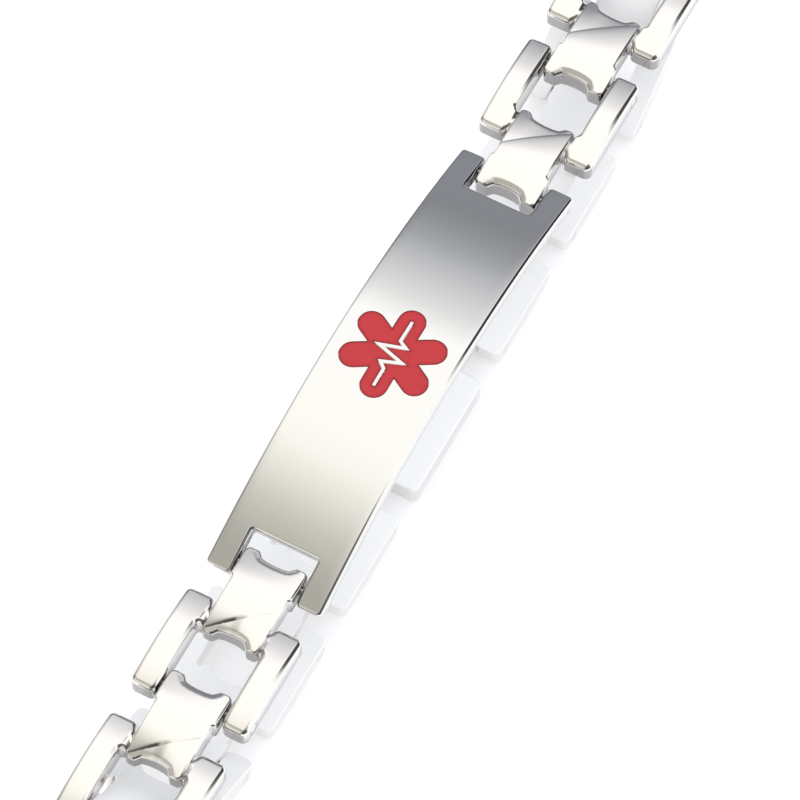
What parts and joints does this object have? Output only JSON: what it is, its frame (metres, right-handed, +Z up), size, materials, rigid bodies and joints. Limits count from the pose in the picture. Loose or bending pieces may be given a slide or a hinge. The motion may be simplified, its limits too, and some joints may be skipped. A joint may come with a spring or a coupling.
{
  "type": "medical alert bracelet",
  "caption": "Link bracelet closed in a loop: an arched polished plate with a red enamel emblem, cast links on hinge pins and a plain clasp.",
  "frame": {"origin": "centre of the loop's footprint, on the surface that it lies on", "axes": "+X along the plate and the band's run, +Y across the band, +Z up out of the plate's face"},
  "size_m": [0.0974, 0.011, 0.0123],
  "materials": {
    "plate_steel": "mirror-polished stainless steel",
    "link_steel": "polished cast stainless steel",
    "clasp_steel": "polished stainless steel",
    "pin_steel": "drawn stainless steel wire",
    "red_enamel": "glossy red enamel"
  },
  "bodies": {
    "root": {"id_plate": "plate_steel", "enamel_emblem": "red_enamel", "clasp": "clasp_steel", "link_left_1": "link_steel", "link_left_2": "link_steel", "link_left_3": "link_steel", "link_left_4": "link_steel", "link_left_5": "link_steel", "link_right_1": "link_steel", "link_right_2": "link_steel", "link_right_3": "link_steel", "link_right_4": "link_steel", "link_right_5": "link_steel", "pin_left_1": "pin_steel", "pin_left_2": "pin_steel", "pin_left_3": "pin_steel", "pin_left_4": "pin_steel", "pin_left_5": "pin_steel", "pin_left_6": "pin_steel", "pin_right_1": "pin_steel", "pin_right_2": "pin_steel", "pin_right_3": "pin_steel", "pin_right_4": "pin_steel", "pin_right_5": "pin_steel", "pin_right_6": "pin_steel"}
  },
  "joints": []
}
